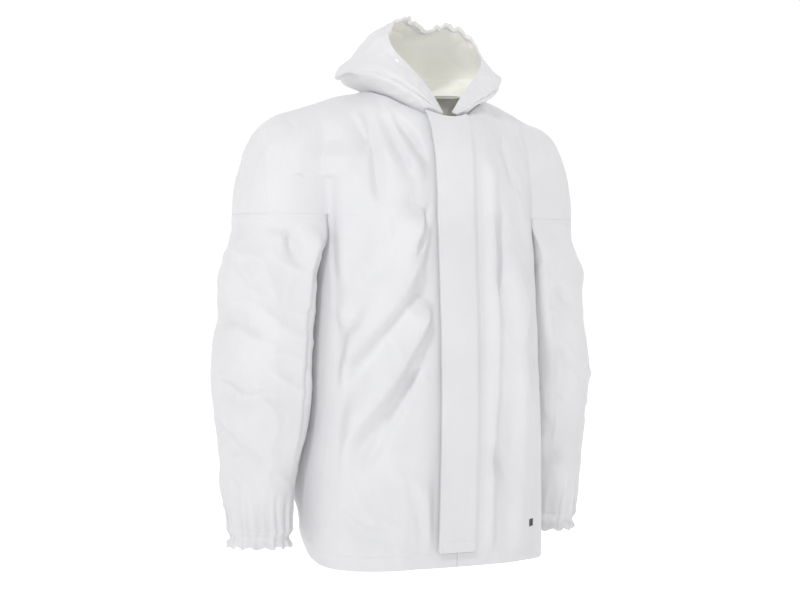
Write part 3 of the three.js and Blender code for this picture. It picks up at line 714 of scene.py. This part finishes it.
STUD = cloth_material("stud_plastic", (0.88, 0.88, 0.87), (0.84, 0.84, 0.83),
                      0.3, 0.0, 200.0, 0.8, 0.00002, 0.0)


def dress(obj, slot, *materials):
    """Gives a piece its materials; slot is not used."""
    for material in materials:
        obj.data.materials.append(material)
    return obj


def lay(obj, slot, node, body, *materials):
    """Dresses a piece, puts it in place of a CAD node and lets it ride on one body."""
    dress(obj, slot, *materials)
    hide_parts(node)
    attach(obj, body)


def point_places(obj):
    """Places of a piece's points, in millimetres."""
    co = np.zeros(len(obj.data.vertices) * 3, np.float32)
    obj.data.vertices.foreach_get("co", co)
    return co.reshape(-1, 3) / MM


# ---- stitching ----
def stitches(name, path, n, pitch=3.4, radius=0.42):
    """A row of lockstitches along a path: each is a small six-sided spindle, sunk at its ends, laid
    along the path on its normals, with short gaps between them."""
    step = np.r_[0, np.cumsum(np.linalg.norm(np.diff(path, axis=0), axis=-1))]
    count = int(step[-1] / pitch)
    middles = (np.arange(count) + 0.5) * pitch

    def at(values, where):
        """Values read off the path at given lengths along it."""
        return np.stack([np.interp(where, step, values[:, k]) for k in range(3)], -1)

    along = at(path, middles + 0.4) - at(path, middles - 0.4)
    along = along / np.linalg.norm(along, axis=-1, keepdims=True)
    up = at(n, middles)
    up = up - along * np.sum(up * along, -1, keepdims=True)
    up = up / np.linalg.norm(up, axis=-1, keepdims=True)
    across = np.cross(along, up)
    lengths = np.array([-0.42, -0.26, 0.26, 0.42]) * pitch
    sizes = np.array([0.35, 1.0, 1.0, 0.35]) * radius
    turn = np.arange(6) * np.pi / 3
    ring = (lengths[:, None, None] * np.array([1, 0, 0])
            + sizes[:, None, None] * np.stack([0 * turn, np.cos(turn), np.sin(turn)], -1)[None])
    ring[..., 2] += (np.array([-0.25, 0.25, 0.25, -0.25]) * radius)[:, None]
    local = ring.reshape(-1, 3)
    points = (at(path, middles)[:, None] + local[None, :, :1] * along[:, None]
              + local[None, :, 1:2] * across[:, None] + local[None, :, 2:] * up[:, None])
    faces = []
    for k in range(3):
        for j in range(6):
            m = (j + 1) % 6
            faces.append([k * 6 + j, k * 6 + m, k * 6 + 6 + m, k * 6 + 6 + j])
    quads = np.array(faces)
    all_quads = (quads[None] + (np.arange(count) * 24)[:, None, None]).reshape(-1, 4)
    caps = np.array([[5, 4, 3, 2, 1, 0], [18, 19, 20, 21, 22, 23]])
    all_caps = (caps[None] + (np.arange(count) * 24)[:, None, None]).reshape(-1, 6)
    test = points[0]
    flat = np.cross(test[1] - test[0], test[6] - test[0])
    centre = test[:12].mean(0)
    if np.dot(flat, test[0] - centre) < 0:
        all_quads, all_caps = all_quads[:, ::-1], all_caps[:, ::-1]
    obj = new_object(name, points.reshape(-1, 3), [*all_quads.tolist(), *all_caps.tolist()])
    return dress(obj, "coated_cloth", THREAD)


def row_of(grid, i, middle):
    """Row i of a grid with its normals turned away from a middle point."""
    return grid[i], outward_normals(grid, grid - middle)[i]


# ---- fronts, back and yoke ----
MIDDLE = np.array([0.0, -25.0, -300.0])
BODY_Z = np.unique(np.r_[np.linspace(HEM_Z, HEM_Z + 3, 3), np.linspace(HEM_Z + 3, SEAM_Z, 160)])
FRONT_S = np.unique(np.r_[np.linspace(0.0021, 1, 64), np.linspace(1, 1.5, 22)])
BACK_S = np.unique(np.r_[np.linspace(1.5, 2, 22), np.linspace(2, 3, 56)])
YOKE_S = np.unique(np.r_[np.linspace(0.0021, 1, 64), np.linspace(1, 2, 46)])
YOKE_V = np.unique(np.r_[np.linspace(0, 1, 78), 0.02, 0.04])
BACK_YOKE_S = np.unique(np.r_[0, YOKE_S[1:]])


def lift_weights(obj):
    """Reads the places of a piece's points, in millimetres, and does nothing more with them."""
    p = point_places(obj)


def arm_blend(obj):
    """Bakes a piece's transform into its points and reads their places."""
    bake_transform(obj)
    lift_weights(obj)


def hint(p):
    """Rough outward direction of a grid."""
    return p - MIDDLE


def back_surface(z):
    """Draped back grid from the right fold line over the centre to the left one."""
    return np.concatenate([body_surface(-1, BACK_S, z), body_surface(1, BACK_S[::-1], z)[:, 1:]], 1)


for name, side in (("right", -1), ("left", 1)):
    lower = body_surface(side, FRONT_S, BODY_Z)
    front = cloth_shell(f"{name}_front", lower, hint(lower))
    lay(front, "coated_cloth", f"{name}_front_panel", "torso", COATED, BACKING)
    upper = yoke_surface(side, -1, YOKE_S, YOKE_V)
    yoke = cloth_shell(f"{name}_front_yoke", upper, hint(upper))
    dress(yoke, "coated_cloth", COATED, BACKING)
    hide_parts(f"{name}_front_panel")
    arm_blend(yoke)
    edge = body_surface(side, np.linspace(0.0021, 60 / FOLD_X, 14), BODY_Z[BODY_Z > HEM_Z + HEM_FOLD])
    strip = cloth_shell(f"{name}_facing", edge, hint(edge), 1.0, lift=-CLOTH - 0.3)
    lay(strip, "lining", f"{name}_front_facing", "torso", BACKING, BACKING)
    band = body_surface(side, FRONT_S, np.linspace(HEM_Z + 0.5, HEM_Z + HEM_FOLD, 8))
    fold = cloth_shell(f"{name}_hem_fold", band, hint(band), 1.0, lift=-CLOTH - 0.3)
    lay(fold, "lining", f"{name}_front_hem_fold", "torso", COATED, BACKING)
    hem_line = body_surface(side, FRONT_S[2:], np.array([HEM_Z + 20, HEM_Z + HEM_FOLD - 3, HEM_Z + 26]))
    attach(stitches(f"{name}_hem_stitches", *row_of(hem_line, 1, MIDDLE)), "torso")
    side_line = body_surface(side, np.array([1.44, 1.462, 1.48]), BODY_Z[4:])
    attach(stitches(f"{name}_side_stitches", *row_of(side_line.transpose(1, 0, 2), 1, MIDDLE)), "torso")

back_grid = back_surface(BODY_Z)
back = cloth_shell("back", back_grid, hint(back_grid))
lay(back, "coated_cloth", "back_panel", "torso", COATED, BACKING)
for name, side in (("right", -1), ("left", 1)):
    grid = yoke_surface(side, 1, BACK_YOKE_S, YOKE_V)
    rear = cloth_shell(f"{name}_back_yoke", grid, hint(grid))
    dress(rear, "coated_cloth", COATED, BACKING)
    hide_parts("back_yoke")
    arm_blend(rear)
band = back_surface(np.linspace(HEM_Z + 0.5, HEM_Z + HEM_FOLD, 8))
fold = cloth_shell("back_hem", band, hint(band), 1.0, lift=-CLOTH - 0.3)
lay(fold, "lining", "back_hem_fold", "torso", COATED, BACKING)
line = back_surface(np.array([HEM_Z + 20, HEM_Z + HEM_FOLD - 3, HEM_Z + 26]))
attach(stitches("back_hem_stitches", *row_of(line, 1, MIDDLE)), "torso")

# ---- sleeves ----
SLEEVE_Q = np.unique(np.r_[np.linspace(0, 1, 40), np.linspace(1, 2, 40), np.linspace(2, 4, 56)])
SPLIT_Z = -350.0
for name, side in (("right", -1), ("left", 1)):
    def sleeve_hint(p):
        """Outward direction from the sleeve's own axis."""
        centre = np.stack([side * sleeve_section(p[..., 2])[0], 0 * p[..., 0] + ARM_Y, p[..., 2]], -1)
        return p - centre

    def sleeve_piece(label, z, thickness=CLOTH, lift=0.0):
        """One length of sleeve, closed round."""
        grid = sleeve_surface(side, SLEEVE_Q, z)
        return cloth_shell(f"{name}_{label}", grid, sleeve_hint(grid), thickness, True, lift)

    head = sleeve_piece("sleeve_upper", np.linspace(SPLIT_Z, SEAM_Z - 0.2, 60))
    dress(head, "coated_cloth", COATED, BACKING)
    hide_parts(f"{name}_sleeve_head", f"{name}_upper_sleeve")
    arm_blend(head)
    lower = sleeve_piece("sleeve_lower", np.linspace(CUFF_TOP, SPLIT_Z, 126))
    dress(lower, "coated_cloth", COATED, BACKING)
    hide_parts(f"{name}_elbow_sleeve", f"{name}_lower_sleeve")
    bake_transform(lower)
    cuff = sleeve_piece("cuff", np.linspace(CUFF_Z, CUFF_TOP, 26), 2.4)
    dress(cuff, "coated_cloth", COATED, BACKING)
    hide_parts(f"{name}_cuff_casing")
    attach(cuff, f"{name}_forearm")
    middle = (CUFF_Z + CUFF_TOP) / 2
    band = sleeve_piece("cuff_band", np.linspace(middle - 7, middle + 7, 10), 1.2, -2.8)
    dress(band, "elastic", TAPE, TAPE)
    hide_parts(f"{name}_cuff_elastic")
    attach(band, f"{name}_forearm")

    def ring_stitches(label, z, body):
        """Stitches round the sleeve at one height."""
        rings = sleeve_surface(side, SLEEVE_Q, np.array([z - 3, z, z + 3]))
        n = sleeve_hint(rings)
        n = n / np.linalg.norm(n, axis=-1, keepdims=True)
        row = stitches(f"{name}_{label}", rings[1], n[1])
        if body:
            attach(row, body)
        else:
            arm_blend(row)

    ring_stitches("armhole_stitches", SEAM_Z - 6, None)
    ring_stitches("cuff_stitches", CUFF_TOP + 1.5, f"{name}_forearm")

# ---- storm flap ----
def flap_grid(x, t, lift):
    """Storm flap over the front closure: the front surface moved out by lift, which falls to the
    cloth at the sewn edge. t runs 0 bottom to 1 at the level seam and 2 at the neckline."""
    s = np.abs(x) / FOLD_X
    low_part = body_at(s[None, :], mix(FLAP_LOW, SEAM_Z, np.clip(t, 0, 1))[:, None])
    top_part = yoke_at(s[None, :], np.clip(t - 1, 0, 1)[:, None], -1)
    p = np.where((t <= 1)[:, None, None], low_part, top_part)
    p[..., 0] *= np.where(x < 0, -1, 1)[None]
    n = outward_normals(p, np.array([0.0, -1.0, 0.0]))
    rise = mix(0.4, lift, smooth((FLAP_LEFT - x) / 16))
    ripple = 0.9 * noise(p, (60, 60, 120), 4.0) * smooth((FLAP_LEFT - x) / 30)[None, :]
    return p + n * (rise[None, :] + ripple)[..., None]


FLAP_T = np.unique(np.r_[np.linspace(0, 1, 130), np.linspace(1, 1.86, 50)])
FLAP_X = np.unique(np.r_[np.linspace(-FLAP_RIGHT, -FLAP_RIGHT + 4, 5), np.linspace(-34, FLAP_LEFT, 38)])


def flap_blend(obj):
    """Bakes a piece's transform into its points; a share across the flap is worked out but not used."""
    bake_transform(obj)
    smooth((FLAP_LEFT + 4 - point_places(obj)[:, 0]) / 16)


for label, lift in (("inner", 5.2), ("outer", 7.4)):
    grid = flap_grid(FLAP_X, FLAP_T, lift + 1.6)
    layer = cloth_shell(f"flap_{label}", grid, hint(grid), 1.7)
    dress(layer, "coated_cloth" if label == "outer" else "lining", COATED, COATED)
    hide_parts(f"storm_flap_{label}")
    flap_blend(layer)
for label, x in (("free", -FLAP_RIGHT + 6), ("sewn", FLAP_LEFT - 5)):
    grid = flap_grid(np.array([x - 2, x, x + 2]), FLAP_T, 9.0)
    row = stitches(f"flap_{label}_stitches", *row_of(grid.transpose(1, 0, 2), 1, MIDDLE))
    flap_blend(row)
end_row = flap_grid(FLAP_X[3:-2], np.array([0.02, 0.034, 0.05]), 9.0)
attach(stitches("flap_end_stitches", *row_of(end_row, 1, MIDDLE)), "storm_flap")

# ---- hood ----
HOOD_U = np.linspace(0.012, 0.988, 300)
HOOD_CASING = 0.09


def hood_piece(label, u, v, thickness, node, lift=0.0):
    """One piece of hood, put in place of a CAD node, its transform baked into its points."""
    grid = hood_surface(u, v)
    obj = cloth_shell(label, grid, grid - HOOD_MIDDLE, thickness, lift=lift)
    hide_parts(node)
    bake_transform(obj)
    return obj


crown = len(HOOD_U) // 2
HOOD_V = np.linspace(HOOD_CASING, 1.0, 88)
for label, u, node in (("right_hood", HOOD_U[:crown + 1], "hood_right_side"),
                       ("left_hood", HOOD_U[crown:], "hood_left_side")):
    obj = hood_piece(label, u, HOOD_V, CLOTH, node)
    dress(obj, "coated_cloth", COATED, HOOD_BACKING_PAINTED_GLOW)
casing = hood_piece("hood_casing", HOOD_U, np.linspace(0, HOOD_CASING, 12), 2.6, "hood_face_casing")
dress(casing, "coated_cloth", COATED, HOOD_BACKING_PAINTED_GLOW)
elastic_u = HOOD_U[(HOOD_U > 0.28) & (HOOD_U < 0.72)]
band = hood_piece("hood_band", elastic_u, np.linspace(0.02, 0.07, 6), 1.2, "hood_face_elastic", -3.0)
dress(band, "elastic", TAPE, TAPE)


def hood_stitches(label, u, v, pick):
    """Stitches along a row or column of the hood."""
    grid = hood_surface(u, v)
    n = outward_normals(grid, grid - HOOD_MIDDLE)
    path = (grid[1], n[1]) if pick == "row" else (grid[:, 1], n[:, 1])
    row = stitches(label, *path)
    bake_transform(row)


hood_stitches("hood_casing_stitches", HOOD_U, np.array([0.09, 0.1, 0.11]), "row")
hood_stitches("hood_crown_stitches", np.array([0.505, 0.512, 0.519]), HOOD_V, "column")

# ---- neck tape, hanger loop and label ----
tape_s = np.linspace(0, 0.55, 24)
tape_v = np.linspace(0.86, 0.997, 8)
tape_right = yoke_surface(-1, 1, tape_s[::-1], tape_v)
tape_left = yoke_surface(1, 1, tape_s, tape_v)
tape_grid = np.concatenate([tape_right, tape_left[:, 1:]], 1)
tape = cloth_shell("back_neck_tape", tape_grid, hint(tape_grid), 1.0, lift=-CLOTH - 0.4)
lay(tape, "lining", "neck_tape", "torso", TAPE, TAPE)

loop_low, loop_high = low("hanger_loop"), high("hanger_loop")
loop_half = (loop_high[0] - loop_low[0]) / 2 - 3
loop_turn = np.linspace(0, np.pi, 40)
loop_path = np.stack([-loop_half * np.cos(loop_turn), np.full(40, loop_low[1] + 0.8),
                      loop_high[2] - (loop_high[2] - loop_low[2] - 3) * np.sin(loop_turn) ** 0.6], -1)
strip_way = np.gradient(loop_path, axis=0)
strip_way = strip_way / np.linalg.norm(strip_way, axis=-1, keepdims=True)
across_way = np.cross(strip_way, [0, 1, 0])
loop_grid = np.stack([loop_path + across_way * w for w in np.linspace(-2.8, 2.8, 6)])
loop = cloth_shell("hanger", loop_grid, np.array([0.0, -1.0, 0.0]) + 0 * loop_grid, 1.1)
lay(loop, "elastic", "hanger_loop", "torso", TAPE, TAPE)

label_low, label_high = low("neck_label"), high("neck_label")
label_x, label_z = np.meshgrid(np.linspace(label_low[0], label_high[0], 30),
                               np.linspace(label_low[2], label_high[2], 16))
label_y = label_low[1] + 0.9 * np.sin(label_x / 16) + 0.5 * np.cos(label_z / 9)
label_grid = np.stack([label_x, label_y, label_z], -1)
label = cloth_shell("blank_label", label_grid, np.array([0.0, -1.0, 0.0]) + 0 * label_grid, 0.6)
lay(label, "label", "neck_label", "torso", TAPE, TAPE)


# ---- press studs ----
def stud(name, node, body, out, radius, socket):
    """A press-stud half: a turned profile with a rolled rim, and a post with a neck or a socket with a
    sprung ring, facing out."""
    centre = (low(node) + high(node)) / 2
    h = 2.2
    if socket:
        profile = [(0, 0.4), (0.30, 0.4), (0.36, 0.9), (0.44, 1.0), (0.5, 0.85), (0.62, 0.8),
                   (0.8, 0.9), (0.93, 0.8), (1, 0.45), (0.97, 0.1), (0.9, 0)]
    else:
        profile = [(0, 1.0), (0.26, 0.98), (0.36, 0.86), (0.34, 0.66), (0.3, 0.5), (0.46, 0.42), (0.7, 0.46),
                   (0.92, 0.44), (1, 0.28), (0.97, 0.08), (0.9, 0)]
    profile = np.array(profile + [(0, 0)], float) * (radius, h)
    turn = np.linspace(0, 2 * np.pi, 33)[:-1]
    out = np.asarray(out, float) / np.linalg.norm(out)
    a = np.cross(out, [0, 0, 1.0])
    a = a / np.linalg.norm(a)
    b = np.cross(out, a)
    spin = np.cos(turn)[None, :, None] * a + np.sin(turn)[None, :, None] * b
    body_rings = profile[1:-1]
    rings = centre + (body_rings[:, 1, None, None] - h / 2) * out + body_rings[:, 0, None, None] * spin
    points = [*rings.reshape(-1, 3), centre + (profile[0, 1] - h / 2) * out, centre - h / 2 * out]
    faces = []
    rows = len(body_rings)
    for k in range(rows - 1):
        for j in range(32):
            m = (j + 1) % 32
            faces.append([k * 32 + j, k * 32 + m, (k + 1) * 32 + m, (k + 1) * 32 + j])
    for j in range(32):
        m = (j + 1) % 32
        faces.append([rows * 32, m, j])
        faces.append([rows * 32 + 1, (rows - 1) * 32 + j, (rows - 1) * 32 + m])
    obj = new_object(name, points, faces)
    v0, v1, v2 = (np.array(points[i]) for i in faces[-2])
    if np.dot(np.cross(v1 - v0, v2 - v0), v0 - centre) < 0 and np.dot(np.cross(v1 - v0, v2 - v0), out) < 0:
        obj.data.flip_normals()
    dress(obj, "stud", STUD)
    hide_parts(node)
    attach(obj, body)


for i in range(1, 6):
    face = np.array([-0.05, -1.0, 0.0 if i < 4 else 0.12])
    stud(f"stud_post_{i}", f"front_stud_post_{i}", "torso", face, 6.5, False)
    stud(f"stud_socket_{i}", f"flap_stud_socket_{i}", "storm_flap", -face, 6.5, True)
stud("throat_socket", "hood_stud_socket", "hood", (-0.75, 0.45, 0.45), 5.0, True)
stud("throat_post", "hood_stud_post", "hood", (0.75, 0.45, 0.45), 5.0, False)

# ---- plain print above the left hem ----
mark_low, mark_high = low("hem_print_patch"), high("hem_print_patch")
mark_s = np.linspace(mark_low[0] / FOLD_X, mark_high[0] / FOLD_X, 14)
mark_z = np.linspace(mark_low[2] + 6, mark_high[2] - 14, 8)
mark_grid = body_surface(1, mark_s, mark_z)
mark = cloth_shell("hem_mark", mark_grid, hint(mark_grid), 0.12, lift=0.2)
lay(mark, "print", "hem_print_patch", "torso", PRINT, PRINT)

# ---- floor, light and world ----
SKY_FRONT, SKY_BACK = 0.30, 1.04
FLOOR_Z = -1.42
FLOOR_REACH = 40.0


def ramp(tree, source, start, end, low_value, high_value):
    """A value that runs smoothly from low to high while the source runs from start to end."""
    node = tree.nodes.new("ShaderNodeMapRange")
    node.interpolation_type = "SMOOTHSTEP"
    node.inputs["From Min"].default_value = start
    node.inputs["From Max"].default_value = end
    node.inputs["To Min"].default_value = low_value
    node.inputs["To Max"].default_value = high_value
    link(tree, source, node.inputs["Value"])
    return node.outputs[0]


def pale_floor_material():
    """Pale matt floor that glows a little more far away, so that it fades into the backdrop."""
    material = bpy.data.materials.new("pale_floor")
    material.use_nodes = True
    tree = material.node_tree
    shader = tree.nodes["Principled BSDF"]
    shader.inputs["Base Color"].default_value = (0.84, 0.84, 0.84, 1)
    shader.inputs["Roughness"].default_value = 0.9
    shader.inputs["Emission Color"].default_value = (1, 1, 1, 1)
    place = tree.nodes.new("ShaderNodeTexCoord")
    far = tree.nodes.new("ShaderNodeVectorMath")
    far.operation = "LENGTH"
    link(tree, place.outputs["Object"], far.inputs[0])
    link(tree, ramp(tree, far.outputs["Value"], 2.2, 5.0, 0.16, 0.5), shader.inputs["Emission Strength"])
    return material


def pale_floor():
    """A wide level floor below the jacket."""
    mesh = bpy.data.meshes.new("floor")
    corners = [(-1, -1), (1, -1), (1, 1), (-1, 1)]
    mesh.from_pydata([(x * FLOOR_REACH, y * FLOOR_REACH, FLOOR_Z) for x, y in corners], [], [(0, 1, 2, 3)])
    floor = bpy.data.objects.new("floor", mesh)
    bpy.context.scene.collection.objects.link(floor)
    mesh.materials.append(pale_floor_material())


def studio_world():
    """Soft white surroundings, dimmer in front of the jacket than behind it."""
    world = bpy.data.worlds.new("studio")
    bpy.context.scene.world = world
    world.use_nodes = True
    tree = world.node_tree
    direction = tree.nodes.new("ShaderNodeTexCoord")
    toward = tree.nodes.new("ShaderNodeVectorMath")
    toward.operation = "DOT_PRODUCT"
    toward.inputs[1].default_value = (0.5, 0.866, 0.45)
    link(tree, direction.outputs["Generated"], toward.inputs[0])
    strength = ramp(tree, toward.outputs["Value"], -0.35, 0.45, SKY_FRONT, SKY_BACK)
    background = tree.nodes["Background"]
    link(tree, strength, background.inputs["Strength"])
    background.inputs["Color"].default_value = (1, 0.985, 0.99, 1)


def lamp(name, place, aim, power_watts, size, colour=(1, 1, 1)):
    """A square soft lamp at a place, aimed at a point."""
    data = bpy.data.lights.new(name, "AREA")
    data.energy = power_watts
    data.size = size
    data.color = colour
    obj = bpy.data.objects.new(name, data)
    obj.location = place
    obj.rotation_euler = (Vector(aim) - Vector(place)).to_track_quat("-Z", "Y").to_euler()
    bpy.context.scene.collection.objects.link(obj)


pale_floor()
studio_world()
bpy.context.scene.view_settings.view_transform = "Standard"
lamp("key", (-2.5, -2.3, 2.0), (0, 0, -0.3), 44, 0.4, (0.965, 0.985, 1.0))
lamp("front", (-1.7, -2.9, 0.1), (0, 0, -0.35), 15, 0.6, (0.965, 0.985, 1.0))
lamp("fill", (2.6, -2.2, 0.6), (0, 0, -0.3), 5, 1.6)
